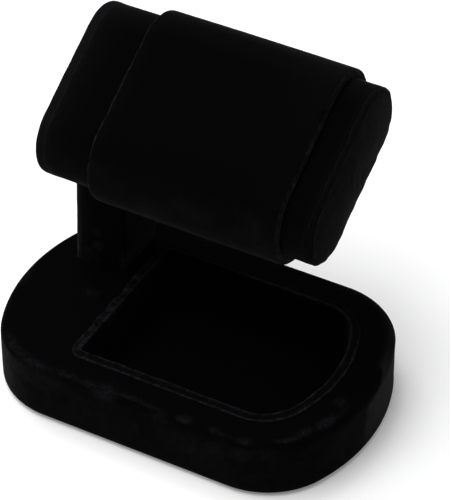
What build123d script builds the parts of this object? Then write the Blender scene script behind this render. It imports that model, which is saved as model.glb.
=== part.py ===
from build123d import *
import math
import os

# Watch display stand covered in black velvet: an oval base with a sunk tray, a square post
# near its back left corner, and a tilted roll that hangs over the tray from that post.
# The watch is strapped round a padded cuff, which pulls off over the roll's free end.
# Millimetres, +Z up. The origin is the middle of the underside, where the stand rests.
# +X runs along the base to the roll's free end, and -Y is the side that faces the viewer.

# Base, measured over its velvet
base_length = 130.0
base_depth = 85.5
base_height = 21.7
base_corner_radius = 27.4
base_end_radius = 65.3
base_edge_radius = 2.6
base_foot_radius = 1.2

# Cloth and boards
velvet = 0.8
glue = 0.1
felt = 1.0
felt_margin = 3.0
board = 3.0
turn_in = 9.0

# Tray sunk into the base, beside the post
post_to_tray = 5.2
tray_side_margin = 10.7
tray_end_margin = 12.0
tray_corner_radius = 4.2
lip_width = 3.0
lip_rise = 1.0
lip_round = 0.7
tray_floor_card = 1.0
tray_floor_play = 0.2

# Post, measured over its velvet
post_width = 17.4
post_depth = 21.3
post_round = 1.5
post_end_margin = 12.1
post_back_margin = 9.9

# Roll: a flat bar with fully round edges, tilted towards the viewer
roll_long = 61.5
roll_thick = 27.6
roll_length = 96.7
roll_overhang = 1.7
roll_height = 85.6
roll_tilt = 31.1
roll_end_round = 0.7

# Padded discs on the ends of the roll
end_card = 0.6
end_wadding = 0.8
end_velvet = 0.6
end_inset = 0.15
end_dome = 0.5
end_rim_round = 1.3

# Padded cuff that carries the watch
cuff_length = 68.7
cuff_gap = 0.3
cuff_running_gap = 0.35
cuff_lining = 0.3
cuff_card = 0.6
cuff_foam = 0.85
cuff_velvet = 0.6
cuff_edge_round = 1.7
cuff_lining_set_back = 3.0

# Countersunk wood screws
screw_shank = 3.5
screw_head = 7.0
screw_head_depth = 2.6
screw_tip = 4.0
screw_point = 0.8
screw_play = 0.1
post_screw_length = 35.0
post_screw_pitch = 9.5
roll_screw_length = 40.0
roll_screw_pitch = 8.4
roll_screw_offset = -12.0

# How near an edge lies to a section plane that it belongs to, and how much of a wall a fillet may take
same_place = 0.01
fillet_limit = 0.9

# Heights of the layers of the base
board_z = felt + velvet
block_z = board_z + board
block_top = base_height - velvet
skin = velvet + glue

# Places that follow from the sizes above
post_x = -base_length / 2 + post_end_margin + post_width / 2
post_y = base_depth / 2 - post_back_margin - post_depth / 2
post_right = post_x + post_width / 2
tray_left = post_right + post_to_tray
roll_y = post_y
roll_left = post_x - post_width / 2 - roll_overhang
roll_right = roll_left + roll_length
cuff_left = post_right + cuff_gap
cuff_right = cuff_left + cuff_length

tilt = math.radians(roll_tilt)
slope_dir = Vector(0, math.cos(tilt), math.sin(tilt))
face_dir = Vector(0, -math.sin(tilt), math.cos(tilt))


def end_arcs(half_length, half_width, corner, end, side):
    """One end of a flat-sided oval: a broad arc between two tighter corner arcs.
    Also gives how far out along X the straight sides run."""
    end_x = half_length - end
    corner_y = half_width - corner
    corner_x = end_x + math.sqrt((end - corner) ** 2 - corner_y ** 2)
    turn = math.degrees(math.atan2(corner_y, corner_x - end_x))
    start = 0 if side > 0 else 180
    arcs = [
        CenterArc((side * end_x, 0), end, start - turn, 2 * turn),
        CenterArc((side * corner_x, side * corner_y), corner, start + turn, 90 - turn),
        CenterArc((side * corner_x, -side * corner_y), corner, start - 90, 90 - turn),
    ]
    return arcs, corner_x


def base_outline(inset=0.0):
    """Outline of the base, drawn in by the same distance all round."""
    half_length = base_length / 2 - inset
    half_width = base_depth / 2 - inset
    corner = base_corner_radius - inset
    end = base_end_radius - inset
    right, side_end = end_arcs(half_length, half_width, corner, end, 1)
    left, side_end = end_arcs(half_length, half_width, corner, end, -1)
    sides = [Line((-side_end, y), (side_end, y)) for y in (half_width, -half_width)]
    return make_face(right + left + sides)


def tray_outline(inset=0.0):
    """Outline of the tray: its far end follows the base's, and it is straight beside the post."""
    half_length = base_length / 2 - tray_end_margin - inset
    half_width = base_depth / 2 - tray_side_margin - inset
    corner = base_corner_radius - tray_side_margin - inset
    end = base_end_radius - tray_side_margin - inset
    edges, side_end = end_arcs(half_length, half_width, corner, end, 1)
    left = tray_left + inset
    turn = max(tray_corner_radius - inset, lip_round)
    edges += [Line((left + turn, y), (side_end, y)) for y in (half_width, -half_width)]
    edges.append(Line((left, half_width - turn), (left, turn - half_width)))
    edges.append(CenterArc((left + turn, half_width - turn), turn, 90, 90))
    edges.append(CenterArc((left + turn, turn - half_width), turn, 180, 90))
    return make_face(edges)


def slab(outline, low, high):
    """Outline raised into a slab between two heights."""
    return extrude(Pos(0, 0, low) * outline, amount=high - low, dir=(0, 0, 1))


def post_outline(inset=0.0):
    """Rounded rectangle of the post, drawn in by the same distance all round."""
    corner = max(post_round - inset, glue)
    return Pos(post_x, post_y) * RectangleRounded(post_width - 2 * inset, post_depth - 2 * inset, corner)


def roll_plane(x):
    """Section plane of the roll at x: local X runs up the slope, local Y out of the watch face."""
    return Plane(origin=(x, roll_y, roll_height), x_dir=slope_dir, z_dir=(1, 0, 0))


def roll_bar(low, high, grow=0.0):
    """Stretch of the roll's round-edged section between two places along it."""
    section = roll_plane(low) * SlotOverall(roll_long + 2 * grow, roll_thick + 2 * grow)
    return extrude(section, amount=high - low, dir=(1, 0, 0))


def end_edges(solid, places):
    """Edges of a piece of the roll that lie wholly in one of the section planes given."""
    found = []
    for edge in solid.edges():
        box = edge.bounding_box()
        for place in places:
            if abs(box.min.X - place) < same_place and abs(box.max.X - place) < same_place:
                found.append(edge)
    return found


def wood_screw(length):
    """Countersunk wood screw with its head's face at the origin and its tip up +Z."""
    stem = length - screw_head_depth - screw_tip
    low = (Align.CENTER, Align.CENTER, Align.MIN)
    head = Cone(screw_head / 2, screw_shank / 2, screw_head_depth, align=low)
    shank = Pos(0, 0, screw_head_depth) * Cylinder(screw_shank / 2, stem, align=low)
    tip = Pos(0, 0, screw_head_depth + stem) * Cone(screw_shank / 2, screw_point / 2, screw_tip, align=low)
    return head + shank + tip


def screw_hole(length):
    """Countersunk hole that the screw above fills, with a little play all round."""
    low = (Align.CENTER, Align.CENTER, Align.MIN)
    sink = Cone(screw_head / 2 + screw_play, screw_shank / 2 + screw_play, screw_head_depth, align=low)
    return sink + Cylinder(screw_shank / 2 + screw_play, length + screw_play, align=low)


def post_screw_places():
    """Two upright screws under the post, heads flush with the underside of the board."""
    return [Pos(post_x, post_y + side * post_screw_pitch / 2, board_z) for side in (-1, 1)]


def roll_screw_places():
    """Two screws square to the watch face, heads flush with the roll's core, tips in the post."""
    head_face = roll_thick / 2 - skin
    places = []
    for side in (-1, 1):
        start = Vector(post_x + side * roll_screw_pitch / 2, roll_y, roll_height)
        start += slope_dir * roll_screw_offset + face_dir * head_face
        places.append(Plane(origin=start, x_dir=(1, 0, 0), z_dir=-face_dir).location)
    return places


def screw_group(places, length):
    """Screws of one length as one group of separate solids."""
    return Compound(children=[place * wood_screw(length) for place in places])


def make_base_block():
    """Board block of the base, cut right through for the tray and rounded over on top."""
    block = slab(base_outline(skin), block_z, block_top)
    block = fillet(block.edges().group_by(Axis.Z)[-1], base_edge_radius - skin)
    block -= slab(tray_outline(), block_z, block_top)
    for place in post_screw_places():
        block -= place * screw_hole(post_screw_length)
    return block


def make_base_board():
    """Thin board glued under the block, which closes the tray."""
    plate = slab(base_outline(skin), board_z, block_z)
    for place in post_screw_places():
        plate -= place * screw_hole(post_screw_length)
    return plate


def make_base_velvet():
    """Velvet over the top and sides of the base, turned under and glued to the board."""
    outer = slab(base_outline(), felt, base_height)
    outer = fillet(outer.edges().group_by(Axis.Z)[-1], base_edge_radius)
    outer = fillet(outer.edges().group_by(Axis.Z)[0], base_foot_radius)
    inner = slab(base_outline(velvet), board_z, block_top)
    inner = fillet(inner.edges().group_by(Axis.Z)[-1], base_edge_radius - velvet)
    cover = outer - inner
    cover -= slab(base_outline(turn_in), felt, board_z)
    cover -= slab(tray_outline(), block_top, base_height)
    cover -= slab(post_outline(velvet), block_top, base_height)
    return cover


def make_base_felt():
    """Felt sheet on the underside, pressed up inside the velvet's turned-in margin."""
    sheet = slab(base_outline(felt_margin), 0, felt)
    return sheet + slab(base_outline(turn_in + glue), felt, board_z)


def make_tray_wall_card():
    """Card strip bent round the inside of the tray cut-out."""
    top = base_height + lip_rise - skin
    return slab(tray_outline(skin + glue), block_z, top) - slab(tray_outline(lip_width - skin), block_z, top)


def make_tray_wall_velvet():
    """Velvet folded over both faces of that card, so that it stands up as a soft lip."""
    top = base_height + lip_rise
    ring = slab(tray_outline(glue), block_z, top) - slab(tray_outline(lip_width), block_z, top)
    ring = fillet(ring.edges().group_by(Axis.Z)[-1], lip_round)
    slot = slab(tray_outline(skin), block_z, top - velvet)
    slot -= slab(tray_outline(lip_width - velvet), block_z, top - velvet)
    return ring - slot


def make_tray_floor_card():
    """Card on the floor of the tray."""
    return slab(tray_outline(lip_width + tray_floor_play), block_z, block_z + tray_floor_card)


def make_tray_floor_velvet():
    """Velvet glued to the floor card."""
    low = block_z + tray_floor_card
    return slab(tray_outline(lip_width + tray_floor_play), low, low + velvet)


def make_post_block():
    """Square board post, its top coped to sit against the underside of the roll's core."""
    block = slab(post_outline(skin), block_top, roll_height)
    block -= roll_bar(roll_left, roll_right, -skin)
    block -= roll_bar(roll_left, roll_right, -skin).moved(Location(face_dir * roll_thick / 2))
    block = block.solids().sort_by(Axis.Z)[0]
    for place in post_screw_places():
        block -= place * screw_hole(post_screw_length)
    for place in roll_screw_places():
        block -= place * screw_hole(roll_screw_length)
    return block


def make_post_velvet():
    """Velvet sleeve round the post, from the base's velvet up to the roll's."""
    sleeve = slab(post_outline(), base_height, roll_height)
    sleeve -= slab(post_outline(velvet), base_height, roll_height)
    sleeve -= roll_bar(roll_left, roll_right, glue)
    sleeve -= roll_bar(roll_left, roll_right, glue).moved(Location(face_dir * roll_thick / 2))
    return sleeve.solids().sort_by(Axis.Z)[0]


def make_roll_core():
    """Solid core of the roll, screwed to the top of the post."""
    core = roll_bar(roll_left, roll_right, -skin)
    for place in roll_screw_places():
        core -= place * screw_hole(roll_screw_length)
    return core


def make_roll_velvet():
    """Velvet sleeve glued round the core, open where the post comes in."""
    sleeve = roll_bar(roll_left, roll_right)
    sleeve = fillet(end_edges(sleeve, (roll_left, roll_right)), roll_end_round)
    sleeve -= roll_bar(roll_left, roll_right, -velvet)
    return sleeve - slab(post_outline(velvet), base_height, roll_height)


def domed_slab(seam, outward, near, far, inset):
    """Slab on one end of the roll between two distances from the seam, its outer face crowned."""
    low = min(seam + outward * near, seam + outward * far)
    disc = roll_bar(low, low + far - near, -inset)
    half = roll_long / 2 - end_inset
    crown_radius = (half ** 2 + end_dome ** 2) / (2 * end_dome)
    return disc & Pos(seam + outward * (far - crown_radius), roll_y, roll_height) * Sphere(crown_radius)


def round_rim(disc, seam, outward, wall, radius):
    """Round over the outer rim of a disc whose wall is the given height at its lowest."""
    rim = []
    for edge in disc.edges():
        box = edge.bounding_box()
        reach = min(outward * (box.min.X - seam), outward * (box.max.X - seam))
        if reach > wall / 2:
            rim.append(edge)
    return fillet(rim, min(radius, wall * fillet_limit))


def make_end(seam, outward):
    """Card, wadding and velvet of one end disc, as three pieces."""
    full = end_card + end_wadding + glue + end_velvet
    inner = full - end_velvet
    inner_round = end_rim_round - end_velvet
    low = min(seam, seam + outward * end_card)
    filling_inset = end_inset + end_velvet + inner_round
    card = roll_bar(low, low + end_card, -filling_inset)
    wadding = domed_slab(seam, outward, end_card, full - end_velvet - glue, filling_inset)
    outside = domed_slab(seam, outward, 0.0, full, end_inset)
    outside = round_rim(outside, seam, outward, full - end_dome, end_rim_round)
    inside = domed_slab(seam, outward, 0.0, inner, end_inset + end_velvet)
    inside = round_rim(inside, seam, outward, inner - end_dome, inner_round)
    return card, wadding, outside - inside


def cuff_ring(inner, outer, set_back):
    """Ring round the roll between two distances from its velvet, short of the cuff's ends."""
    low = cuff_left + set_back
    high = cuff_right - set_back
    return roll_bar(low, high, outer) - roll_bar(low, high, inner)


def make_cuff():
    """Lining, card, foam and velvet of the cuff, from the inside out."""
    lining_out = cuff_running_gap + cuff_lining
    card_in = lining_out + glue
    card_out = card_in + cuff_card
    foam_in = card_out + glue
    foam_out = foam_in + cuff_foam
    velvet_in = foam_out + glue
    velvet_out = velvet_in + cuff_velvet
    lining = cuff_ring(cuff_running_gap, lining_out, cuff_lining_set_back)
    card = cuff_ring(card_in, card_out, cuff_velvet + glue)
    foam = cuff_ring(foam_in, foam_out, cuff_velvet + glue)
    cover = roll_bar(cuff_left, cuff_right, velvet_out)
    cover = fillet(end_edges(cover, (cuff_left, cuff_right)), cuff_edge_round)
    cover -= roll_bar(cuff_left, cuff_right, lining_out)
    cover -= cuff_ring(lining_out, velvet_in, cuff_velvet)
    return lining, card, foam, cover


def build_all():
    """Every piece of the stand by the name of its node."""
    left_card, left_wadding, left_cover = make_end(roll_left, -1)
    right_card, right_wadding, right_cover = make_end(roll_right, 1)
    lining, card, foam, cover = make_cuff()
    return {
        "base_block": make_base_block(),
        "base_board": make_base_board(),
        "base_velvet": make_base_velvet(),
        "base_felt": make_base_felt(),
        "tray_wall_card": make_tray_wall_card(),
        "tray_wall_velvet": make_tray_wall_velvet(),
        "tray_floor_card": make_tray_floor_card(),
        "tray_floor_velvet": make_tray_floor_velvet(),
        "post_block": make_post_block(),
        "post_velvet": make_post_velvet(),
        "post_screws": screw_group(post_screw_places(), post_screw_length),
        "roll_core": make_roll_core(),
        "roll_velvet": make_roll_velvet(),
        "roll_screws": screw_group(roll_screw_places(), roll_screw_length),
        "left_end_card": left_card,
        "left_end_wadding": left_wadding,
        "left_end_velvet": left_cover,
        "right_end_card": right_card,
        "right_end_wadding": right_wadding,
        "right_end_velvet": right_cover,
        "cuff_lining": lining,
        "cuff_card": card,
        "cuff_foam": foam,
        "cuff_velvet": cover,
    }


os.makedirs("parts", exist_ok=True)
for node, shape in build_all().items():
    export_step(shape, f"parts/{node}.step")
    box = shape.bounding_box()
    span = f"x {box.min.X:.1f} to {box.max.X:.1f}, z {box.min.Z:.1f} to {box.max.Z:.1f}"
    print(f"{node}: {shape.volume:.1f} mm3, {span}")
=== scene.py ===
import bpy
import math
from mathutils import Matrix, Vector, noise


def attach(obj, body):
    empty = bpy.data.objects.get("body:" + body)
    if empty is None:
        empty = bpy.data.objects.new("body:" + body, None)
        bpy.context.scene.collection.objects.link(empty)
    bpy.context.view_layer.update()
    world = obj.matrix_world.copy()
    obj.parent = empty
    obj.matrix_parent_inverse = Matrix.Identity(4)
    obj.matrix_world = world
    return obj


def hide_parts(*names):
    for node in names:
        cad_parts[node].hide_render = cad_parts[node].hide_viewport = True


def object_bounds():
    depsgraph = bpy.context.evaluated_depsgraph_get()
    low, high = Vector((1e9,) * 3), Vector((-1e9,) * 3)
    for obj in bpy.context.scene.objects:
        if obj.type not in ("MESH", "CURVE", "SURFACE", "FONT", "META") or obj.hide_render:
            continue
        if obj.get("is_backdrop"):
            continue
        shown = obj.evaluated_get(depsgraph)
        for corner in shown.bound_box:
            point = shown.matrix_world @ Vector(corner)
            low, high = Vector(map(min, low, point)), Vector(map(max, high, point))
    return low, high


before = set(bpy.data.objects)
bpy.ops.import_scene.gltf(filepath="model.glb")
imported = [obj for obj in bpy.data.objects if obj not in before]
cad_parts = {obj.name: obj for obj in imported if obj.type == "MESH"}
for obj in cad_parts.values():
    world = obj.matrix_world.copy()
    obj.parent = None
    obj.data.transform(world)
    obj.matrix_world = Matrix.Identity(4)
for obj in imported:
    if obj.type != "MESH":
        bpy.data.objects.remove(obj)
cad_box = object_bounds()

# The base cover is one piece of black cotton velvet pulled over the oval base block, rounded over
# its upper edge and turned under at the foot, where it is glued. It has a cut-out for the tray
# and one for the post.


def start_line(name, points):
    """New piece that is one chain of edges through the points, left in edit mode."""
    bpy.ops.object.select_all(action="DESELECT")
    bpy.ops.mesh.primitive_plane_add(size=0.001)
    piece = bpy.context.object
    piece.name = name
    bpy.ops.object.mode_set(mode="EDIT")
    draw_line(points)
    bpy.ops.mesh.select_all(action="SELECT")
    return piece


def draw_line(points):
    """Turn the selected plane into a chain of edges through the points."""
    bpy.ops.mesh.merge(type="CENTER")
    bpy.ops.transform.translate(value=points[0])
    for here, there in zip(points, points[1:]):
        step = [b - a for a, b in zip(here, there)]
        bpy.ops.mesh.extrude_region_move(TRANSFORM_OT_translate={"value": step})


def start_loop(point):
    """Second loop in the same mesh, begun as one selected vertex."""
    bpy.ops.mesh.select_all(action="DESELECT")
    bpy.ops.mesh.primitive_plane_add(size=0.001)
    draw_line([point])


def carry(path):
    """Carry the selected line along straight runs and round arcs, leaving cloth behind it. With
    no window, spin turns clockwise for a positive angle, so the angle is passed on negative."""
    for kind, *move in path:
        if kind == "run":
            step, count = move
            for i in range(count):
                bpy.ops.mesh.extrude_region_move(TRANSFORM_OT_translate={"value": step})
        else:
            centre, axis, angle, count = move
            bpy.ops.mesh.spin(steps=count, angle=-angle, center=centre, axis=axis)


def weld():
    """Join what the carrying has brought together in the mesh that is being edited."""
    bpy.ops.mesh.select_all(action="SELECT")
    bpy.ops.mesh.remove_doubles(threshold=0.00002)


def close_mesh(smooth=180):
    """Weld the mesh, point its faces outwards and shade it smooth, but for edges over an angle."""
    weld()
    bpy.ops.mesh.normals_make_consistent(inside=False)
    bpy.ops.object.mode_set(mode="OBJECT")
    bpy.ops.object.shade_smooth_by_angle(angle=math.radians(smooth))


def select_vertices(piece, wanted):
    """Select just the vertices that a rule picks by place, and go to edit mode."""
    bpy.ops.object.mode_set(mode="OBJECT")
    for edge in piece.data.edges:
        edge.select = False
    for face in piece.data.polygons:
        face.select = False
    for vertex in piece.data.vertices:
        vertex.select = wanted(vertex.co)
    bpy.ops.object.mode_set(mode="EDIT")
    bpy.ops.mesh.select_mode(type="VERT")


def pick(piece):
    """Select one piece alone and make it the active one."""
    bpy.ops.object.select_all(action="DESELECT")
    piece.select_set(True)
    bpy.context.view_layer.objects.active = piece


def give_thickness(piece, thickness):
    """Cloth thickness, laid inwards from the modelled face."""
    skin = piece.modifiers.new("thickness", "SOLIDIFY")
    skin.thickness = thickness
    skin.offset = -1
    skin.use_even_offset = True
    bpy.ops.object.modifier_apply(modifier=skin.name)
    bpy.ops.object.shade_smooth_by_angle(angle=math.radians(60))


def ruffle(piece, amount, size, weight):
    """Move the cloth a little in and out, as much as a rule allows at each place."""
    group = piece.vertex_groups.new(name="ruffle")
    for vertex in piece.data.vertices:
        group.add([vertex.index], weight(vertex.co), "REPLACE")
    clouds = bpy.data.textures.new(piece.name + "_ruffle", "CLOUDS")
    clouds.noise_scale = size
    clouds.noise_depth = 1
    push = piece.modifiers.new("ruffle", "DISPLACE")
    push.texture = clouds
    push.texture_coords = "LOCAL"
    push.strength = amount
    push.mid_level = 0.5
    push.vertex_group = group.name
    bpy.ops.object.modifier_apply(modifier=push.name)
    piece.vertex_groups.clear()


def ramp(value, length):
    """0 below nothing, 1 above a length, and a straight rise between them."""
    return min(max(value / length, 0.0), 1.0)


def untouched(co):
    """Pile with no mark: nothing crushed or parted, and no painted light."""
    return 0.0


def mark_pile(piece, crushed=untouched, painted_light_rule=untouched):
    """Mark at each place, from 0 to 1, how far the pile is crushed or parted or carries a painted
    highlight, and how much painted light and random mottle make it a little lighter all over."""
    for name, rule in (("crush", crushed), ("lift", painted_light_rule)):
        mark = piece.data.attributes.new(name, "FLOAT", "POINT")
        for vertex, value in zip(piece.data.vertices, mark.data):
            value.value = ramp(rule(vertex.co), 1.0)


def spot(place, centre, reach):
    """1 at the centre, falling smoothly to 0 at the reach from it."""
    gap = (Vector(place) - Vector(centre)).length / reach
    return max(0.0, 1 - gap * gap) ** 2


def set_inputs(node, values):
    """Write plain values into a node's sockets."""
    for socket, value in values.items():
        node.inputs[socket].default_value = value


def velvet_finish(name):
    """Black velvet: nearly no colour, a thin sheen at grazing angles, painted light, and lighter
    crushed pile with painted highlights.
    """
    material = bpy.data.materials.new(name)
    material.use_nodes = True
    nodes, links = material.node_tree.nodes, material.node_tree.links
    cloth = nodes["Principled BSDF"]
    set_inputs(cloth, {
        "Roughness": 1.0,
        "Specular IOR Level": 0.02,
        "Sheen Weight": 0.03,
        "Sheen Roughness": 0.3,
        "Sheen Tint": (0.9, 0.92, 1.0, 1),
    })
    place = nodes.new("ShaderNodeTexCoord")
    lift = nodes.new("ShaderNodeAttribute")
    lift.attribute_name = "lift"
    # Painted light: the ground goes from the velvet's own black to a lighter tone as far as the
    # mark of painted light and mottle says.
    ground = nodes.new("ShaderNodeMix")
    ground.data_type = "RGBA"
    ground.inputs["A"].default_value = (0.0009, 0.0009, 0.00095, 1)
    ground.inputs["B"].default_value = (0.0085, 0.0083, 0.0094, 1)
    crush = nodes.new("ShaderNodeAttribute")
    crush.attribute_name = "crush"
    blotch = nodes.new("ShaderNodeTexNoise")
    set_inputs(blotch, {"Scale": 640, "Detail": 5, "Roughness": 0.7})
    broken = nodes.new("ShaderNodeMapRange")
    set_inputs(broken, {"From Min": 0.38, "From Max": 0.64, "To Min": 0.15})
    # Crushed pile and painted highlights lighten the colour further, broken up by a noise.
    share = nodes.new("ShaderNodeMath")
    share.operation = "MULTIPLY"
    colour = nodes.new("ShaderNodeMix")
    colour.data_type = "RGBA"
    colour.inputs["B"].default_value = (0.0205, 0.0207, 0.0245, 1)
    pile = nodes.new("ShaderNodeTexNoise")
    set_inputs(pile, {"Scale": 1600, "Detail": 2})
    lumps = nodes.new("ShaderNodeTexNoise")
    set_inputs(lumps, {"Scale": 150, "Detail": 3})
    grain = nodes.new("ShaderNodeBump")
    set_inputs(grain, {"Strength": 0.5, "Distance": 0.0004})
    nap = nodes.new("ShaderNodeBump")
    set_inputs(nap, {"Strength": 0.35, "Distance": 0.0012})
    for texture in (blotch, pile, lumps):
        links.new(place.outputs["Object"], texture.inputs["Vector"])
    links.new(lift.outputs["Fac"], ground.inputs["Factor"])
    links.new(blotch.outputs["Fac"], broken.inputs["Value"])
    links.new(broken.outputs["Result"], share.inputs[0])
    links.new(crush.outputs["Fac"], share.inputs[1])
    links.new(share.outputs[0], colour.inputs["Factor"])
    links.new(ground.outputs["Result"], colour.inputs["A"])
    links.new(colour.outputs["Result"], cloth.inputs["Base Color"])
    links.new(lumps.outputs["Fac"], nap.inputs["Height"])
    links.new(pile.outputs["Fac"], grain.inputs["Height"])
    links.new(nap.outputs["Normal"], grain.inputs["Normal"])
    links.new(grain.outputs["Normal"], cloth.inputs["Normal"])
    return material


def dress(piece, material, body):
    """Give a finished piece its material, the slot that it belongs to and the body it rides on."""
    piece.data.materials.clear()
    piece.data.materials.append(material)
    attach(piece, body)


pile_height = 0.00025
side_pile = 0.00015
base_half_length = 0.065
base_half_depth = 0.04275
base_corner = 0.0274
base_end = 0.0653
base_oval = base_half_length, base_half_depth, base_corner, base_end
base_top = 0.0217
felt_thickness = 0.001
velvet_thickness = 0.0008


def oval_end(half_length, half_depth, corner, end):
    """Centres and turn of the arcs of one end: a broad arc between two tighter ones."""
    end_x = half_length - end
    corner_y = half_depth - corner
    corner_x = end_x + math.sqrt((end - corner) ** 2 - corner_y ** 2)
    return end_x, corner_x, corner_y, math.atan2(corner_y, corner_x - end_x)


def oval_path(fine):
    """Once round the base, from the left end of the front side. Fine is the arcs' step."""
    end_x, corner_x, corner_y, turn = oval_end(*base_oval)
    tight = math.pi / 2 - turn
    up = (0, 0, 1)
    corner_steps = round(base_corner * tight / fine)
    end_steps = round(base_end * 2 * turn / fine)
    side_steps = round(2 * corner_x / fine)
    step = 2 * corner_x / side_steps
    path = []
    for side in (1, -1):
        path += [
            ("run", (side * step, 0, 0), side_steps),
            ("arc", (side * corner_x, -side * corner_y, 0), up, tight, corner_steps),
            ("arc", (side * end_x, 0, 0), up, 2 * turn, end_steps),
            ("arc", (side * corner_x, side * corner_y, 0), up, tight, corner_steps),
        ]
    return (-corner_x, -base_half_depth), path


def arc_points(centre, radius, first, last, count):
    """Points round part of a circle, first and last in degrees."""
    turns = [math.radians(first + (last - first) * i / count) for i in range(count + 1)]
    return [(centre[0] + radius * math.cos(a), centre[1] + radius * math.sin(a)) for a in turns]


tray_half_length = 0.053
tray_half_depth = 0.03205
tray_corner = 0.0167
tray_end = 0.0546
tray_oval = tray_half_length, tray_half_depth, tray_corner, tray_end
tray_left = -0.0303
tray_small_corner = 0.0042
small_corner_steps = 10


def tray_path(fine):
    """Once round the tray's opening, from the left end of its front side."""
    end_x, corner_x, corner_y, turn = oval_end(*tray_oval)
    up = (0, 0, 1)
    left = tray_left + tray_small_corner
    front = corner_x - left
    side = 2 * (tray_half_depth - tray_small_corner)
    tight = math.pi / 2 - turn
    front_steps, side_steps = round(front / fine), round(side / fine)
    corner_steps = round(tray_corner * tight / fine)
    return (left, -tray_half_depth), [
        ("run", (front / front_steps, 0, 0), front_steps),
        ("arc", (corner_x, -corner_y, 0), up, tight, corner_steps),
        ("arc", (end_x, 0, 0), up, 2 * turn, round(tray_end * 2 * turn / fine)),
        ("arc", (corner_x, corner_y, 0), up, tight, corner_steps),
        ("run", (-front / front_steps, 0, 0), front_steps),
        ("arc", (left, side / 2, 0), up, math.pi / 2, small_corner_steps),
        ("run", (0, -side / side_steps, 0), side_steps),
        ("arc", (left, -side / 2, 0), up, math.pi / 2, small_corner_steps),
    ]


post_centre = (-0.04388, 0.0222)
post_half = (0.00892, 0.0111)
post_corner = 0.0015
post_corner_steps = 5


def post_path(steps, inset=0.0):
    """Once round the post, from the left end of its front side."""
    up = (0, 0, 1)
    cx, cy = post_centre
    wide, deep = (half - post_corner - inset for half in post_half)
    return (cx - wide, cy - post_half[1] + inset), [
        ("run", (2 * wide / steps, 0, 0), steps),
        ("arc", (cx + wide, cy - deep, 0), up, math.pi / 2, post_corner_steps),
        ("run", (0, 2 * deep / steps, 0), steps),
        ("arc", (cx + wide, cy + deep, 0), up, math.pi / 2, post_corner_steps),
        ("run", (-2 * wide / steps, 0, 0), steps),
        ("arc", (cx - wide, cy + deep, 0), up, math.pi / 2, post_corner_steps),
        ("run", (0, -2 * deep / steps, 0), steps),
        ("arc", (cx - wide, cy - deep, 0), up, math.pi / 2, post_corner_steps),
    ]


def from_outline(co, half_length, half_depth, corner, end):
    """How far a point lies in from an oval outline."""
    end_x, corner_x, corner_y, turn = oval_end(half_length, half_depth, corner, end)
    x, y = abs(co.x), abs(co.y)
    if x <= corner_x:
        return half_depth - y
    if math.atan2(y, x - end_x) < turn:
        return end - math.hypot(x - end_x, y)
    return corner - math.hypot(x - corner_x, y - corner_y)


base_round = 0.0026
foot_round = 0.0016
turned_under = 0.009
outline_step = 0.0012
level_rows = (0.004, 0.006, 0.008)
base_start, base_path = oval_path(outline_step)
side_out, top_z = base_half_depth + side_pile, base_top + pile_height
underside = [(base_half_depth - inward, felt_thickness) for inward in (turned_under, 0.005)]
foot = arc_points((side_out - foot_round, felt_thickness + foot_round), foot_round, -90, 0, 6)
wall = [(side_out, millimetres / 1000) for millimetres in range(4, 19)]
upper = arc_points((side_out - base_round, top_z - base_round), base_round, 0, 90, 10)
level = [(base_half_depth - inward, top_z) for inward in level_rows]
profile = underside + foot + wall + upper + level
base_cover = start_line("base_cover", [(base_start[0], -out, z) for out, z in profile])
carry(base_path)
tray_start, tray_round = tray_path(outline_step)
start_loop((tray_start[0], tray_start[1], top_z))
carry(tray_round)
weld()


def on_flat_top(co):
    """Between the last row of faces over the upper edge and the tray."""
    return from_outline(co, *base_oval) > level_rows[-1] - 0.00001 and co.z > top_z - 0.00001


def on_side(co):
    """Between the foot and the rounded upper edge, where the cloth lies a little uneven."""
    return 1.0 if 0.003 < co.z < 0.0195 else 0.0


select_vertices(base_cover, on_flat_top)
bpy.ops.mesh.fill()
flat_step = 0.0025
for across, reach in (((1, 0, 0), 0.055), ((0, 1, 0), 0.0325)):
    for i in range(round(2 * reach / flat_step) + 1):
        select_vertices(base_cover, on_flat_top)
        place = Vector(across) * (i * flat_step - reach)
        bpy.ops.mesh.bisect(plane_co=place, plane_no=across)
close_mesh(smooth=60)
ruffle(base_cover, amount=0.0004, size=0.012, weight=on_side)
give_thickness(base_cover, velvet_thickness)
post_steps = 12
opening_inset, opening_depth = 0.0006, 0.003
post_begin, post_round_path = post_path(post_steps, opening_inset)
cutter = start_line("post_opening", [(post_begin[0], post_begin[1], base_top - opening_depth)])
carry(post_round_path)
weld()
bpy.ops.mesh.edge_face_add()
bpy.ops.mesh.extrude_region_move(TRANSFORM_OT_translate={"value": (0, 0, 2 * opening_depth)})
close_mesh(smooth=60)
opening = base_cover.modifiers.new("opening", "BOOLEAN")
opening.operation = "DIFFERENCE"
opening.object = cutter
pick(base_cover)
bpy.ops.object.modifier_apply(modifier=opening.name)
bpy.ops.object.shade_smooth_by_angle(angle=math.radians(60))
bpy.data.objects.remove(cutter)
longer, wider, marks_strength = 1.2, 1.4, 0.47
rubbed_place = (-0.0396, -0.0027, base_top)
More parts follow.
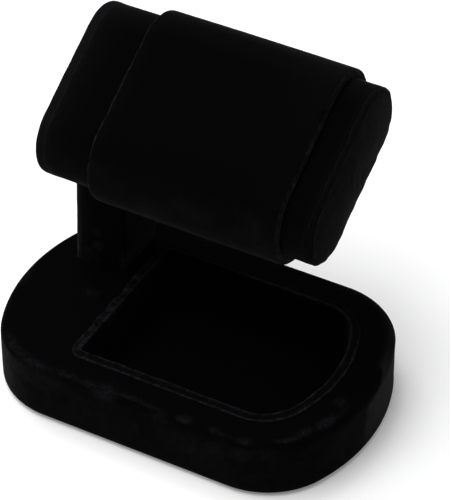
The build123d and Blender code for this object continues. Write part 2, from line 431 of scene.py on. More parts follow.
edge_marks = [
    # x and y on the outline, how far in from the upper edge (below nothing on the side), length,
    # width and strength
    (-0.0470, -0.0375, 0.0014, 0.0080, 0.0018, 0.50),
    (-0.0385, -0.0420, 0.0010, 0.0070, 0.0018, 0.60),
    (-0.0360, -0.0425, -0.0040, 0.0120, 0.0045, 0.34),
    (-0.0260, -0.0427, 0.0014, 0.0060, 0.0013, 0.50),
    (-0.0165, -0.0427, 0.0012, 0.0036, 0.0016, 0.52),
    (-0.0108, -0.0427, 0.0002, 0.0046, 0.0032, 0.72),
    (-0.0024, -0.0427, 0.0020, 0.0055, 0.0008, 0.60),
    (0.0060, -0.0427, 0.0016, 0.0055, 0.0007, 0.50),
    (0.0101, -0.0427, -0.0014, 0.0034, 0.0024, 0.34),
    (0.0180, -0.0427, 0.0013, 0.0030, 0.0015, 0.70),
    (0.0286, -0.0427, 0.0015, 0.0016, 0.0010, 0.80),
    (0.0325, -0.0427, 0.0012, 0.0045, 0.0008, 0.36),
    (0.0398, -0.0420, 0.0010, 0.0030, 0.0014, 0.62),
    (0.0390, -0.0422, -0.0050, 0.0034, 0.0026, 0.40),
    (0.0228, -0.0427, -0.0100, 0.0050, 0.0050, 0.26),
    (0.0301, -0.0427, -0.0065, 0.0034, 0.0034, 0.30),
    (0.0465, -0.0399, -0.0035, 0.0050, 0.0026, 0.24),
    (0.0525, -0.0358, 0.0020, 0.0050, 0.0008, 0.66),
    (0.0572, -0.0300, 0.0036, 0.0030, 0.0014, 0.60),
    (0.0610, -0.0215, 0.0028, 0.0048, 0.0015, 0.76),
    (0.0630, -0.0150, 0.0029, 0.0036, 0.0008, 0.36),
    (0.0640, -0.0115, 0.0064, 0.0028, 0.0020, 0.56),
    (-0.0645, -0.0060, 0.0012, 0.0060, 0.0016, 0.30),
    (-0.0560, 0.0320, 0.0010, 0.0060, 0.0018, 0.44),
    (-0.0200, 0.0427, 0.0012, 0.0080, 0.0014, 0.50),
    (0.0080, 0.0427, -0.0020, 0.0070, 0.0040, 0.34),
    (0.0350, 0.0425, 0.0012, 0.0060, 0.0016, 0.50),
    (-0.0640, 0.0100, -0.0060, 0.0080, 0.0050, 0.30),
]


def base_crush(co):
    """Short patches and lines of crushed pile along the upper edge, and fainter ones below it."""
    inward = max(from_outline(co, *base_oval), 0.0)
    over = inward - (top_z - co.z)
    most = 0.34 * spot(co, rubbed_place, 0.0044)
    for x, y, centre, long, wide, strength in edge_marks:
        flat = (co.x - x) ** 2 + (co.y - y) ** 2 - inward ** 2
        near = 1 - max(flat, 0.0) / (longer * long) ** 2 - ((over - centre) / (wider * wide)) ** 2
        most = max(most, strength * max(near, 0.0))
    return marks_strength * most


def base_lift(co):
    """Painted light from the table, lighter towards the foot, and a strong painted sheen round
    the right-hand end, where the pile also turns; random mottle on the side.
    """
    # Painted light thrown up from the table: lighter towards the foot, most of all just above it.
    low = ramp(0.0190 - co.z, 0.0180)
    # Painted sheen round the right-hand end; its wavy upper edge is where the pile turns.
    border = 0.0008 * noise.noise(co * 500) - 0.0058 + 4.7 * max(co.z - 0.0185, 0.0)
    brushed_and_sheen = ramp(co.y - border, 0.0010)
    inward = from_outline(co, *base_oval)
    brushed_and_sheen *= ramp(co.x - 0.0300, 0.012) * ramp(0.0030 - inward, 0.0010)
    brushed_and_sheen *= 1 - 0.5 * ramp(co.y - 0.0140, 0.006)
    painted_bounce_at_foot = ramp(0.0040 - co.z, 0.0030)
    mottle = 0.04 + 0.08 * noise.noise(co * 130) + 0.12 * noise.noise(co * 420)
    plain = 0.13 * low + 0.20 * painted_bounce_at_foot + mottle * ramp(0.0214 - co.z, 0.0010)
    return plain * (1 - brushed_and_sheen) + brushed_and_sheen * (0.85 + 0.25 * noise.noise(co * 260))


mark_pile(base_cover, base_crush, base_lift)
velvet = velvet_finish("black_velvet")
dress(base_cover, velvet, "stand")
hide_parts("base_velvet")

# The felt sheet closes the underside and keeps the stand from sliding. It is cut 3 mm short of the
# foot all round, and its middle is thick enough to lie level with the turned-under velvet.


def outline_face(start, path, height):
    """Flat face inside a loop that a single vertex is carried round."""
    piece = start_line("outline", [(start[0], start[1], height)])
    carry(path)
    weld()
    bpy.ops.mesh.edge_face_add()
    return piece


def trim_margin(width):
    """Cut a margin off the flat face all round, and leave what is within it selected."""
    bpy.ops.mesh.inset(thickness=width)
    bpy.ops.mesh.select_all(action="INVERT")
    bpy.ops.mesh.delete(type="VERT")
    bpy.ops.mesh.select_all(action="SELECT")


felt_margin = 0.003
felt_step = 0.0061
felt_outline_step = 0.002
felt = outline_face(base_start, oval_path(felt_outline_step)[1], 0)
felt.name = "underside_felt"
trim_margin(felt_margin)
bpy.ops.mesh.extrude_region_move(TRANSFORM_OT_translate={"value": (0, 0, felt_thickness)})
bpy.ops.mesh.inset(thickness=felt_step)
bpy.ops.mesh.extrude_region_move(TRANSFORM_OT_translate={"value": (0, 0, velvet_thickness)})
close_mesh(smooth=40)


def fibre_finish(name, surface, texture, pattern, tones, relief):
    """Matt finish in which one texture gives the light and dark places and the fine relief."""
    material = bpy.data.materials.new(name)
    material.use_nodes = True
    nodes, links = material.node_tree.nodes, material.node_tree.links
    shader = nodes["Principled BSDF"]
    set_inputs(shader, surface)
    place = nodes.new("ShaderNodeTexCoord")
    fibres = nodes.new(texture)
    set_inputs(fibres, pattern)
    tone = nodes.new("ShaderNodeValToRGB")
    for stop, (position, colour) in zip(tone.color_ramp.elements, tones):
        stop.position = position
        stop.color = colour
    grain = nodes.new("ShaderNodeBump")
    set_inputs(grain, relief)
    links.new(place.outputs["Object"], fibres.inputs["Vector"])
    links.new(fibres.outputs[0], tone.inputs["Fac"])
    links.new(fibres.outputs[0], grain.inputs["Height"])
    links.new(tone.outputs["Color"], shader.inputs["Base Color"])
    links.new(grain.outputs["Normal"], shader.inputs["Normal"])
    return material


black_felt = fibre_finish(
    "black_felt",
    {"Roughness": 1.0, "Specular IOR Level": 0.1, "Sheen Weight": 0.08, "Sheen Roughness": 0.6},
    "ShaderNodeTexNoise",
    {"Scale": 900, "Detail": 6, "Distortion": 2.5},
    ((0.35, (0.006, 0.006, 0.007, 1)), (0.7, (0.024, 0.024, 0.026, 1))),
    {"Strength": 0.7, "Distance": 0.0003},
)
dress(felt, black_felt, "stand")
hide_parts("base_felt")

# The tray's wall is a strip of card with velvet folded over both of its faces. Its fold stands a
# millimetre proud of the base as a soft lip with two rounded edges and a slack valley between.
lip_width = 0.003
lip_top = 0.0227 + pile_height
lip_ridge = 0.0005
lip_valley = 0.0005
lip_bulge = 0.0004
lip_droop = 0.0003
lip_cloth = 0.00045
lip_step = 0.0007
wall_foot = 0.0048
outer_face, inner_face = 0.0001, lip_width
ridge_z = lip_top - lip_ridge
outer_x = outer_face + lip_ridge - lip_bulge
outer_ridge = arc_points((outer_x, ridge_z - lip_droop), lip_ridge, 220, 55, 7)
inner_ridge = arc_points((inner_face - lip_ridge, ridge_z), lip_ridge, 125, 0, 6)
middle = (outer_face + inner_face) / 2
outer_wall = [(outer_face, wall_foot + i * (base_top - wall_foot) / 6) for i in range(6)]
inner_wall = [(inner_face, ridge_z - (i + 1) * (ridge_z - wall_foot) / 14) for i in range(14)]
lip_line = outer_wall + outer_ridge + [(middle, lip_top - lip_valley)] + inner_ridge + inner_wall
tray_start, tray_round = tray_path(lip_step)
tray_lip = start_line("tray_lip", [(tray_start[0], tray_start[1] + d, z) for d, z in lip_line])
carry(tray_round)
close_mesh()


def tray_inset(co):
    """How far a point lies in from the tray's outline."""
    if co.x > 0:
        return from_outline(co, *tray_oval)
    across, along = tray_half_depth - abs(co.y), co.x - tray_left
    corner = tray_small_corner
    if across < corner and along < corner:
        return corner - math.hypot(corner - across, corner - along)
    return min(across, along)


def speckle(co, coarse, fine):
    """Uneven light and dark in two sizes, about 2 mm and under 1 mm, for broken lines of pile."""
    return coarse * noise.noise(co * 420) + fine * noise.noise(co * 1300)


def lip_crush(co):
    """The pile is parted along both edges of the fold; behind the tray the outer line is mostly
    left out, and on the left of that side painted shade dims the lines, where the cuff's shadow
    falls.
    """
    inward = tray_inset(co)
    raised = ramp(co.z - base_top, 0.0004)
    outer_line = max(0.0, 1 - ((inward + 0.0001) / 0.0005) ** 2)
    inner_line = max(0.0, 1 - ((inward - 0.0026) / 0.00045) ** 2)
    behind = ramp(co.y - 0.0150, 0.0100)
    # Painted shade where the cuff's shadow falls on the far side of the tray.
    shaded = ramp(0.0060 - co.x, 0.0100) * behind
    left = ramp(0.0040 - co.x + tray_left, 0.0010)
    broken = speckle(co, 0.30, 0.35)
    outer_line *= 1 - 0.95 * behind
    line = max(outer_line, inner_line) * (0.62 + broken)
    between = (0.08 + 0.30 * left) * (0.7 + 2.5 * broken)
    return raised * (1 - 0.9 * shaded) * max(line, between, 0.0)


def lip_slack(co):
    """The fold is slack on top, more so beside the post, and glued flat lower down."""
    height = ramp(co.z - 0.0195, 0.002)
    beside_post = ramp(-0.015 - co.x, 0.01)
    return height * (0.45 + 0.55 * beside_post)


mark_pile(tray_lip, lip_crush)
for amount, size in ((0.0010, 0.0045), (0.0005, 0.0018)):
    ruffle(tray_lip, amount, size, lip_slack)
give_thickness(tray_lip, lip_cloth)
dress(tray_lip, velvet, "stand")
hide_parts("tray_wall_velvet")

# The tray's floor is a card with velvet glued over it, dropped in between the walls. The velvet's
# edge curls down a little where it meets them.
floor_low, floor_high = 0.0058, 0.0066
floor_gap = 0.0032
floor_outline_step = 0.0015
tray_floor = outline_face(tray_start, tray_path(floor_outline_step)[1], floor_low)
tray_floor.name = "tray_floor_velvet_sheet"
trim_margin(floor_gap)
edge_rise = (0, 0, (floor_high - floor_low) / 2)
bpy.ops.mesh.extrude_region_move(TRANSFORM_OT_translate={"value": edge_rise})
for inward, rise in ((0.0002, 0.0002), (0.0006, 0.0002)):
    bpy.ops.mesh.inset(thickness=inward)
    bpy.ops.transform.translate(value=(0, 0, rise))
close_mesh(smooth=50)
mark_pile(tray_floor)
dress(tray_floor, velvet, "stand")
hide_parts("tray_floor_velvet")

# The post's sleeve is one piece of velvet wrapped round the square wooden post. It bunches a
# little at its foot, and its top edge is hidden against the underside of the roll.
roll_centre = Vector((0, 0.0222, 0.0856))
roll_tilt = math.radians(31.1)
up_slope = Vector((0, math.cos(roll_tilt), math.sin(roll_tilt)))
off_face = Vector((0, -math.sin(roll_tilt), math.cos(roll_tilt)))
roll_half_long = 0.03075
roll_radius = 0.0138
post_left, post_right = post_centre[0] - post_half[0], post_centre[0] + post_half[0]
post_front, post_back = post_centre[1] - post_half[1], post_centre[1] + post_half[1]
sleeve_rows, sleeve_row = 58, 0.0011
tucked_in_roll = 0.0004
post_begin, post_round_path = post_path(post_steps)
sleeve_line = [(*post_begin, base_top + i * sleeve_row) for i in range(sleeve_rows)]
post_sleeve = start_line("post_sleeve", sleeve_line)
carry(post_round_path)
weld()
under_roll = roll_centre - off_face * (roll_radius - tucked_in_roll)
bpy.ops.mesh.bisect(plane_co=under_roll, plane_no=off_face, clear_outer=True)
close_mesh(smooth=70)
for vertex in post_sleeve.data.vertices:
    on_left = vertex.co.x < post_centre[0]
    lean, height, start = (0.00085, 0.034, 0.0005) if on_left else (0.0016, 0.009, 0.0003)
    vertex.co.x += lean * min((vertex.co.z - base_top) / height, 1.0) - start


def post_slack(co):
    """The sleeve bunches near its foot, and least on its right side."""
    return max(ramp(0.034 - co.z, 0.010), 0.15) * max(ramp(post_right - co.x, 0.004), 0.25)


ruffle(post_sleeve, amount=0.0012, size=0.006, weight=post_slack)
give_thickness(post_sleeve, velvet_thickness)
crumples = [
    # x, height, reach and strength, all on the front of the post
    (-0.0446, 0.0359, 0.0030, 0.30), (-0.0442, 0.0303, 0.0030, 0.55),
    (-0.0476, 0.0269, 0.0030, 0.34), (-0.0493, 0.0227, 0.0028, 0.30),
    (-0.0450, 0.0245, 0.0024, 0.24),
]


def post_crush(co):
    """Crumpled pile near the foot, painted highlights on the corners, and parted pile on the right
    front corner, faded out above by the cuff's painted shadow.
    """
    crumpled = max(w * spot(co, (x, post_front, z), reach) for x, z, reach, w in crumples)
    flat = (co.x, co.y, 0)
    # Painted highlights down the left front and right back corners, where the edges catch the
    # light.
    left_corner = spot(flat, (post_left, post_front, 0), 0.0020) ** 0.5
    # The right front corner is parted pile with a painted highlight; painted shade from the cuff
    # fades it out above.
    front_corner = spot(flat, (post_right + 0.0010, post_front, 0), 0.0020)
    front_corner = 0.75 * (front_corner * ramp(0.0310 - co.z, 0.004)) ** 0.5
    back_corner = 0.35 * spot(flat, (post_right, post_back, 0), 0.0018) ** 0.5
    return max(crumpled, left_corner, front_corner, back_corner)


def post_lift(co):
    """Painted light: the left half, towards the lamps, is lighter."""
    return 0.35 * ramp(post_centre[0] - 0.0015 - co.x, 0.006)


mark_pile(post_sleeve, post_crush, post_lift)
dress(post_sleeve, velvet, "stand")
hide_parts("post_velvet")

# The roll's sleeve is velvet glued round the wooden core. Both of its ends are folded in to a
# crisp edge, against which the end cushions sit.
roll_left, roll_right = -0.0530, 0.0421
half_flat = roll_half_long - roll_radius


def slot_path(radius, flat_steps, arc_steps):
    """Once round the roll's section, from the lower end of the face that carries the watch."""
    axis = (1, 0, 0)
    step = up_slope * (2 * half_flat / flat_steps)
    return [
        ("run", step, flat_steps),
        ("arc", roll_centre + up_slope * half_flat, axis, -math.pi, arc_steps),
        ("run", -step, flat_steps),
        ("arc", roll_centre - up_slope * half_flat, axis, -math.pi, arc_steps),
    ]


def on_roll(line):
    """Points of a line along the roll, given as place along it and height over its middle."""
    return [(x, *(roll_centre - up_slope * half_flat + off_face * out).yz) for x, out in line]


def even_steps(left, right, out, count):
    """Points at even steps along the roll, between two ends that aren't among them."""
    return [(left + i * (right - left) / count, out) for i in range(1, count)]


def rounded_line(left, right, out, edge, edge_steps, count):
    """Line along the roll with a rounded edge at each of its ends."""
    length = right - left - 2 * edge
    line = arc_points((left + edge, out - edge), edge, 180, 90, edge_steps)
    line += [(left + edge + i * length / count, out) for i in range(1, count)]
    return line + arc_points((right - edge, out - edge), edge, 90, 0, edge_steps)


fold = 0.0004
turned_in = 0.0016
skin_out = roll_radius + pile_height
sleeve_flat_steps, sleeve_arc_steps = 24, 36
roll_line = [(roll_left, skin_out - turned_in)]
roll_line += rounded_line(roll_left, roll_right, skin_out, fold, edge_steps=5, count=60)
roll_line += [(roll_right, skin_out - turned_in)]
roll_sleeve = start_line("roll_sleeve", on_roll(roll_line))
carry(slot_path(skin_out, sleeve_flat_steps, sleeve_arc_steps))
close_mesh()
hole_half, hole_top = (0.0075, 0.0095), 0.088


def inside_post(co):
    """Where the post comes in: that part of the sleeve is cut away."""
    across, deep = abs(co.x - post_centre[0]), abs(co.y - post_centre[1])
    return across < hole_half[0] and deep < hole_half[1] and co.z < hole_top


select_vertices(roll_sleeve, inside_post)
bpy.ops.mesh.delete(type="VERT")
bpy.ops.object.mode_set(mode="OBJECT")


def sleeve_slack(co):
    """The sleeve lies tight near its folded ends."""
    return 1.0 if roll_left + 0.002 < co.x < roll_right - 0.002 else 0.2


ruffle(roll_sleeve, amount=0.0005, size=0.010, weight=sleeve_slack)
give_thickness(roll_sleeve, velvet_thickness)


def sleeve_crush(co):
    """Parted pile along the folded end edges."""
    near_end = min(abs(co.x - roll_left), abs(co.x - roll_right))
    return 0.10 * max(0.0, 1 - near_end / 0.0010)


def sleeve_lift(co):
    """Painted light: lighter towards the left end, and a painted sheen over the upper and lower
    edges.
    """
    up = (co - roll_centre).dot(up_slope)
    left = ramp(roll_left + 0.0150 - co.x, 0.0150)
    upper = ramp(up - 0.0190, 0.0110)
    lower = ramp(-up - 0.0230, 0.0080)
    return 0.16 * left ** 2 + 0.20 * upper + 0.16 * lower


mark_pile(roll_sleeve, sleeve_crush, sleeve_lift)
dress(roll_sleeve, velvet, "stand")
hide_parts("roll_velvet")

# Each end of the roll is closed by a card covered in wadding and velvet. The velvet is gathered
# over the card's edge, so that it is plump in the middle and puckers round its rim.
core_left = -0.0546
cushion_radius = skin_out + 0.0001
end_flat_steps, end_arc_steps = 30, 40


def end_disc(name, seam, outward, radius, rim, depth, dome):
    """Stadium-shaped cushion on one end of the roll: rounded rim and crowned face."""
    half = roll_centre - up_slope * half_flat + off_face * radius
    piece = start_line(name, [(seam, half.y, half.z)])
    carry(slot_path(radius, end_flat_steps, end_arc_steps))
    weld()
    bpy.ops.mesh.edge_face_add()
    wall = depth - dome - rim
    bpy.ops.mesh.extrude_region_move(TRANSFORM_OT_translate={"value": (outward * wall, 0, 0)})
    rim_steps = 5
    done_in, done_up = 0.0, 0.0
    for i in range(1, rim_steps + 1):
        turn = math.radians(90 * i / rim_steps)
        inward, upward = rim * (1 - math.cos(turn)), rim * math.sin(turn)
        bpy.ops.mesh.inset(thickness=inward - done_in)
        bpy.ops.transform.translate(value=(outward * (upward - done_up), 0, 0))
        done_in, done_up = inward, upward
    inner = radius - rim
    rings = 9
    for i in range(1, rings):
        share = i / rings
        bpy.ops.mesh.inset(thickness=inner / rings)
        before, here = (math.sin(math.pi / 2 * part) for part in (share - 1 / rings, share))
        rise = dome * (here - before)
        bpy.ops.transform.translate(value=(outward * rise, 0, 0))
    close_mesh()
    return piece


last_frame = 20


def settle(piece, pressure, slack, limit, held):
    """Blow the cover up a little against its own stitching, and keep it within a limit."""
    rest = [vertex.co.copy() for vertex in piece.data.vertices]
    group = piece.vertex_groups.new(name="held")
    for vertex in piece.data.vertices:
        group.add([vertex.index], held(vertex.co), "REPLACE")
    cloth = piece.modifiers.new("settle", "CLOTH")
    cloth.settings.quality = 6
    cloth.settings.mass = 0.15
    cloth.settings.tension_stiffness = 40
    cloth.settings.compression_stiffness = 20
    cloth.settings.shear_stiffness = 20
    cloth.settings.bending_stiffness = 0.3
    cloth.settings.use_pressure = True
    cloth.settings.uniform_pressure_force = pressure
    cloth.settings.effector_weights.gravity = 0
    cloth.settings.vertex_group_mass = group.name
    cloth.settings.shrink_min = -slack
    scene = bpy.context.scene
    for frame_number in range(1, last_frame + 1):
        scene.frame_set(frame_number)
    pick(piece)
    bpy.ops.object.modifier_apply(modifier=cloth.name)
    scene.frame_set(1)
    piece.vertex_groups.clear()
    for vertex, start in zip(piece.data.vertices, rest):
        moved = vertex.co - start
        if moved.length > limit:
            vertex.co = start + moved * (limit / moved.length)


def above_roll(co):
    """How far a point lies from the middle line or the flat middle of the roll's section."""
    across = Vector((0, co.y, co.z)) - roll_centre
    along = min(max(across.dot(up_slope), -half_flat), half_flat)
    return (across - up_slope * along).length


face_dome = 0.0006
cushion_voxel = 0.0008
lower_edge_up = 0.0003
seam_width = 0.0006


def end_cushion(name, seam, outward, radius, rim, depth, pucker, nodes):
    """Velvet cushion on one end, puffed out between its seam and its middle."""
    piece = end_disc(name, seam, outward, radius, rim, depth, face_dome)
    even = piece.modifiers.new("even", "REMESH")
    even.mode = "VOXEL"
    even.voxel_size = cushion_voxel
    even.use_smooth_shade = True
    bpy.ops.object.modifier_apply(modifier=even.name)
    for vertex in piece.data.vertices:
        below = -half_flat - (vertex.co - roll_centre).dot(up_slope)
        if outward < 0 and below > 0:
            vertex.co += up_slope * (lower_edge_up * min(below / 0.010, 1.0))

    def gathered(co):
        """The cover puckers round its rim, and hardly on its face."""
        return 1.0 if above_roll(co) > radius - 0.0018 else 0.12

    ruffle(piece, amount=pucker, size=0.004, weight=gathered)

    def sewn(co):
        """Held along the seam."""
        return 1.0 if abs(co.x - seam) < seam_width else 0.0

    settle(piece, pressure=4.0, slack=0.002, limit=0.0006, held=sewn)
    finer = piece.modifiers.new("finer", "SUBSURF")
    finer.levels = finer.render_levels = 1
    bpy.ops.object.modifier_apply(modifier=finer.name)
    crown = seam + outward * (depth - 0.0012)

    def crush(co):
        """A painted highlight along the seam, strongest low down, and fainter light lines of parted
        pile where rim and face meet.
        """
        on_rim = ramp(above_roll(co) - radius + 0.0022, 0.0006)
        low = ramp(-(co - roll_centre).dot(up_slope), roll_half_long)
        seam_line = on_rim * (0.70 + 0.30 * low) * max(0.0, 1 - abs(co.x - seam) / seam_width)
        crown_line = on_rim * 0.14 * max(0.0, 1 - abs(co.x - crown) / 0.0004)
        face_line = max(0.0, 1 - abs(radius - 0.0024 - above_roll(co)) / 0.0005)
        face_line *= ramp(abs(co.x - seam) - 0.0012, 0.0003) * (0.10 + 0.28 * low)
        return max(seam_line, crown_line, face_line) * (0.8 + speckle(co, 0.35, 0.35))

    def lift(co):
        """Painted light: the face lighter than its rim and lightest towards the back, the left
        cushion lighter than the right, with a little random mottle.
        """
        up = (co - roll_centre).dot(up_slope) / roll_half_long
        face = ramp(radius - 0.0022 - above_roll(co), 0.0010)
        # Painted light: the left cushion is painted lighter than the right.
        shade = 0.42 if outward < 0 else 0.15
        return shade + 0.10 * up + face * (0.10 + 0.08 * up) + 0.06 * noise.noise(co * 160)

    mark_pile(piece, crush, lift)
    dress(piece, velvet, "stand")
    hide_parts(*nodes)


seam_lap = 0.0003
end_cushion(
    "left_end_cushion", roll_left + seam_lap, -1, radius=cushion_radius + 0.0001,
    rim=0.0018, depth=0.0047, pucker=0.0002, nodes=["left_end_velvet"])
end_cushion(
    "right_end_cushion", roll_right - seam_lap, 1, radius=cushion_radius,
    rim=0.0015, depth=0.0028, pucker=0.0006, nodes=["right_end_velvet"])

# Inside each cushion lies a thin pad of polyester wadding, cut to the card and glued to it. It is
# white, loose and cloudy.
wadding = fibre_finish(
    "wadding",
    {"Roughness": 1.0, "Specular IOR Level": 0.2},
    "ShaderNodeTexNoise",
    {"Scale": 700, "Detail": 8, "Distortion": 3},
    ((0.0, (0.60, 0.60, 0.58, 1)), (1.0, (0.86, 0.86, 0.84, 1))),
    {"Strength": 0.8, "Distance": 0.0004},
)
card_thickness, wadding_depth = 0.0006, 0.0008
wadding_radius = roll_radius - 0.00155
for name, seam, outward in (("left_end", core_left, -1), ("right_end", roll_right, 1)):
    start = seam + outward * card_thickness
    pad = end_disc(
        name + "_pad", start, outward, radius=wadding_radius,
        rim=0.0002, depth=wadding_depth - 0.0001, dome=0.0004)
    dress(pad, wadding, "stand")
    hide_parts(name + "_wadding")

# The cuff is the padded sleeve that the watch is strapped round: foam on a bent card, covered in
# velvet that is drawn over both rounded ends and glued inside. It slides on the roll.
cuff_left, cuff_right = -0.0352, 0.0333
cuff_out = roll_radius + 0.0031
cuff_in = roll_radius + 0.00045
cuff_edge = 0.0015
cuff_cloth = 0.0005
mouth = 0.0004
inside_left = [(cuff_left + inward, cuff_in) for inward in (0.006, 0.003, mouth)]
inside_right = [(cuff_left + cuff_right - x, out) for x, out in reversed(inside_left)]
cuff_line = inside_left + [(cuff_left, cuff_in + mouth)]
cuff_line += rounded_line(cuff_left, cuff_right, cuff_out, cuff_edge, edge_steps=7, count=46)
cuff_line += [(cuff_right, cuff_in + mouth)] + inside_right
cuff_cover = start_line("cuff_cover", on_roll(cuff_line))
carry(slot_path(cuff_out, sleeve_flat_steps, sleeve_arc_steps))
close_mesh()


def glued_inside(co):
    """Held where the cover is drawn over the ends and glued inside."""
    return 1.0 if above_roll(co) < cuff_out - 0.0014 else 0.0


settle(cuff_cover, pressure=2.0, slack=0.012, limit=0.0003, held=glued_inside)
give_thickness(cuff_cover, cuff_cloth)


def cuff_crush(co):
    """Broken light lines on both rounded ends, parted pile with a painted highlight, and mottled
    pile above the lower edge.
    """
    near_end = min(co.x - cuff_left, cuff_right - co.x)
    up = (co - roll_centre).dot(up_slope)
    low = ramp(-up - 0.0240, 0.0050) * min(max(noise.noise(co * 150) + 0.15, 0.0), 0.8)
    line = max(0.0, 1 - abs(near_end - 0.0002) / 0.0007)
    return max(line * (0.45 + speckle(co, 0.3, 0.3)), 0.18 * low)


def cuff_lift(co):
    """Painted light: a little lighter over the upper and lower edges, by the left end and towards
    the upper right corner."""
    up = (co - roll_centre).dot(up_slope)
    right_top = ramp(co.x + 0.4 * up - 0.014, 0.022)
    left = ramp(cuff_left + 0.0060 - co.x, 0.0060)
    upper = ramp(up - 0.0200, 0.0120)
    lower = ramp(-up - 0.0250, 0.0090)
    return 0.07 * right_top + 0.08 * left + 0.14 * upper + 0.14 * lower


mark_pile(cuff_cover, cuff_crush, cuff_lift)
dress(cuff_cover, velvet, "cuff")
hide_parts("cuff_velvet")

# Under the cover a sheet of grey foam with small open cells is glued round the card, and gives
# the cuff its soft grip.
foam_in, foam_out = roll_radius + 0.00145, roll_radius + 0.0023
foam_left, foam_right = cuff_left + 0.0007, cuff_right - 0.0007
foam_bevel = 0.0002
inner_flat_steps, inner_arc_steps, inner_steps = 10, 24, 12
foam_line = [
    (foam_left, foam_in), (foam_left, foam_out - foam_bevel), (foam_left + foam_bevel, foam_out),
    *even_steps(foam_left, foam_right, foam_out, inner_steps),
    (foam_right - foam_bevel, foam_out), (foam_right, foam_out - foam_bevel), (foam_right, foam_in),
    (foam_left, foam_in),
]
cuff_foam = start_line("cuff_foam_sheet", on_roll(foam_line))
carry(slot_path(foam_out, inner_flat_steps, inner_arc_steps))
close_mesh(smooth=50)
foam = fibre_finish(
    "foam",
    {"Roughness": 0.95, "Specular IOR Level": 0.2},
    "ShaderNodeTexVoronoi",
    {"Scale": 1800},
    ((0.0, (0.05, 0.05, 0.055, 1)), (1.0, (0.16, 0.16, 0.165, 1))),
    {"Strength": 0.6, "Distance": 0.0003},
)
dress(cuff_foam, foam, "cuff")
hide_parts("cuff_foam")

# A thin velvet lining inside the card lets the cuff slide along the roll without scratching it.
lining_in, lining_out = roll_radius + 0.00035, roll_radius + 0.00065
lining_left, lining_right = cuff_left + 0.003, cuff_right - 0.003
lining_line = [
    (lining_left, lining_out), (lining_left, lining_in),
    *even_steps(lining_left, lining_right, lining_in, inner_steps),
    (lining_right, lining_in), (lining_right, lining_out), (lining_left, lining_out),
]
cuff_lining = start_line("cuff_lining_sleeve", on_roll(lining_line))
carry(slot_path(lining_out, inner_flat_steps, inner_arc_steps))
close_mesh(smooth=50)
mark_pile(cuff_lining)
dress(cuff_lining, velvet, "cuff")
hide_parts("cuff_lining")

# Inside the covers are the boards: fibreboard for the base, the post and the roll's core, and
# grey card for the tray's wall and floor, the ends of the roll and the cuff's former.


def board_finish(name, light, dark, scale):
    """Pressed board, speckled with its own fibres."""
    return fibre_finish(
        name,
        {"Roughness": 0.85, "Specular IOR Level": 0.3},
        "ShaderNodeTexNoise",
        {"Scale": scale, "Detail": 8, "Roughness": 0.7},
        ((0.35, dark), (0.65, light)),
        {"Strength": 0.3, "Distance": 0.0001},
    )


def finish_nodes(names, material):
    """Give CAD pieces that are kept as they are their finish."""
    for name in names:
        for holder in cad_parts[name].material_slots:
            holder.material = material


fibreboard = board_finish("fibreboard", (0.36, 0.24, 0.14, 1), (0.20, 0.13, 0.075, 1), 900)
grey_card = board_finish("grey_card", (0.32, 0.31, 0.29, 1), (0.20, 0.195, 0.185, 1), 1400)
boards = ["base_block", "base_board", "post_block", "roll_core"]
cards = ["tray_wall_card", "tray_floor_card", "left_end_card", "right_end_card", "cuff_card"]
finish_nodes(boards, fibreboard)
finish_nodes(cards, grey_card)

# Four countersunk wood screws, bright zinc plated, hold the post to the base and the roll to
# the post. Their plating is slightly uneven in gloss.


def zinc_finish():
    """Bright zinc plating, slightly uneven."""
    material = bpy.data.materials.new("zinc")
    material.use_nodes = True
    nodes, links = material.node_tree.nodes, material.node_tree.links
    metal = nodes["Principled BSDF"]
    set_inputs(metal, {"Base Color": (0.62, 0.64, 0.66, 1), "Metallic": 1.0})
    place = nodes.new("ShaderNodeTexCoord")
    cloud = nodes.new("ShaderNodeTexNoise")
    set_inputs(cloud, {"Scale": 400, "Detail": 5})
    dull = nodes.new("ShaderNodeMapRange")
    set_inputs(dull, {"To Min": 0.28, "To Max": 0.5})
    links.new(place.outputs["Object"], cloud.inputs["Vector"])
    links.new(cloud.outputs["Fac"], dull.inputs["Value"])
    links.new(dull.outputs["Result"], metal.inputs["Roughness"])
    return material


finish_nodes(["post_screws", "roll_screws"], zinc_finish())

# The stand is photographed on a seamless white table. To the camera, and in reflections, the table
# is a little brighter than its paint, so that all but the soft shadow is plain white.
bpy.ops.object.select_all(action="DESELECT")
table_size = 6
bpy.ops.mesh.primitive_plane_add(size=table_size, location=(0, 0, 0))
table = bpy.context.object
table.name = "table"
white = bpy.data.materials.new("white_table")
white.use_nodes = True
nodes, links = white.node_tree.nodes, white.node_tree.links
paint = nodes["Principled BSDF"]
set_inputs(paint, {
    "Base Color": (0.93, 0.93, 0.93, 1), "Roughness": 0.9, "Specular IOR Level": 0.1})
glow = nodes.new("ShaderNodeEmission")
both = nodes.new("ShaderNodeAddShader")
ray = nodes.new("ShaderNodeLightPath")
seen, shown, strength = (nodes.new("ShaderNodeMath") for i in range(3))
for either in (seen, shown):
    either.operation = "ADD"
    either.use_clamp = True
strength.operation = "MULTIPLY"
strength.inputs[1].default_value = 0.12
links.new(ray.outputs["Is Camera Ray"], seen.inputs[0])
links.new(ray.outputs["Is Glossy Ray"], seen.inputs[1])
links.new(seen.outputs[0], shown.inputs[0])
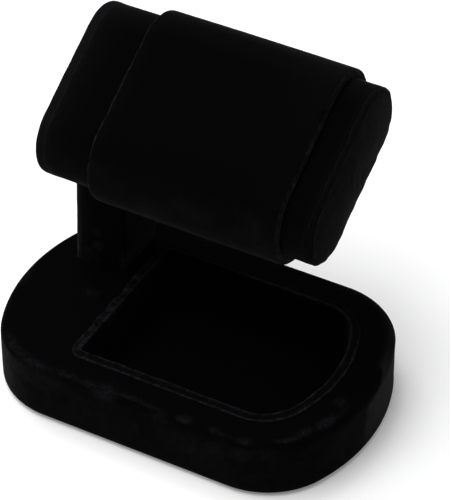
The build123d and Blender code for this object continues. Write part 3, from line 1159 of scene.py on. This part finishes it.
links.new(ray.outputs["Is Transmission Ray"], shown.inputs[1])
links.new(shown.outputs[0], strength.inputs[0])
links.new(strength.outputs[0], glow.inputs["Strength"])
links.new(paint.outputs[0], both.inputs[0])
links.new(glow.outputs[0], both.inputs[1])
links.new(both.outputs[0], nodes["Material Output"].inputs["Surface"])
table.data.materials.append(white)
table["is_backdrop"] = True

# The stand is lit by a soft white room and two large disc-shaped lamps, one high in front and one
# behind on the left. They give the soft shadow that falls to the right.
room = bpy.data.worlds.new("white_room")
bpy.context.scene.world = room
room.use_nodes = True
set_inputs(room.node_tree.nodes["Background"], {"Color": (1, 1, 1, 1), "Strength": 0.43})
lamp_aim = Vector((0, 0, 0.05))
for name, place, size, power in (
    ("front_lamp", Vector((-0.25, -0.34, 1.02)), 0.89, 6.8),
    ("left_lamp", Vector((-0.52, 0.26, 0.93)), 0.93, 5.9),
):
    bpy.ops.object.light_add(type="AREA", location=place)
    lamp = bpy.context.object
    lamp.name = name
    lamp.data.shape = "DISK"
    lamp.data.size = size
    lamp.data.energy = power
    lamp.rotation_euler = (lamp_aim - place).to_track_quat("-Z", "Y").to_euler()

# The camera stands in front and to the right, looking down at the stand with a long lens. Its
# place was fitted to the outline of the stand in the photograph.
camera_aim = Vector((0.01045, 0, 0.05867))
camera_turn = math.radians(28.76)
camera_rise = math.radians(39.78)
camera_distance = 0.9286
away = Vector((
    math.sin(camera_turn) * math.cos(camera_rise),
    -math.cos(camera_turn) * math.cos(camera_rise),
    math.sin(camera_rise),
))
camera_place = camera_aim + camera_distance * away
bpy.ops.object.camera_add(location=camera_place)
camera = bpy.context.object
camera.data.sensor_width = 36
camera.data.lens = 209.37
camera.rotation_euler = (camera_aim - camera_place).to_track_quat("-Z", "Y").to_euler()
bpy.context.scene.camera = camera
bpy.context.scene.view_settings.view_transform = "Standard"

visual_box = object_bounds()
rows = [[[float(v) for v in corner] for corner in box] for box in (cad_box, visual_box)]
str({"cad": rows[0], "visual": rows[1]}).replace("'", chr(34))
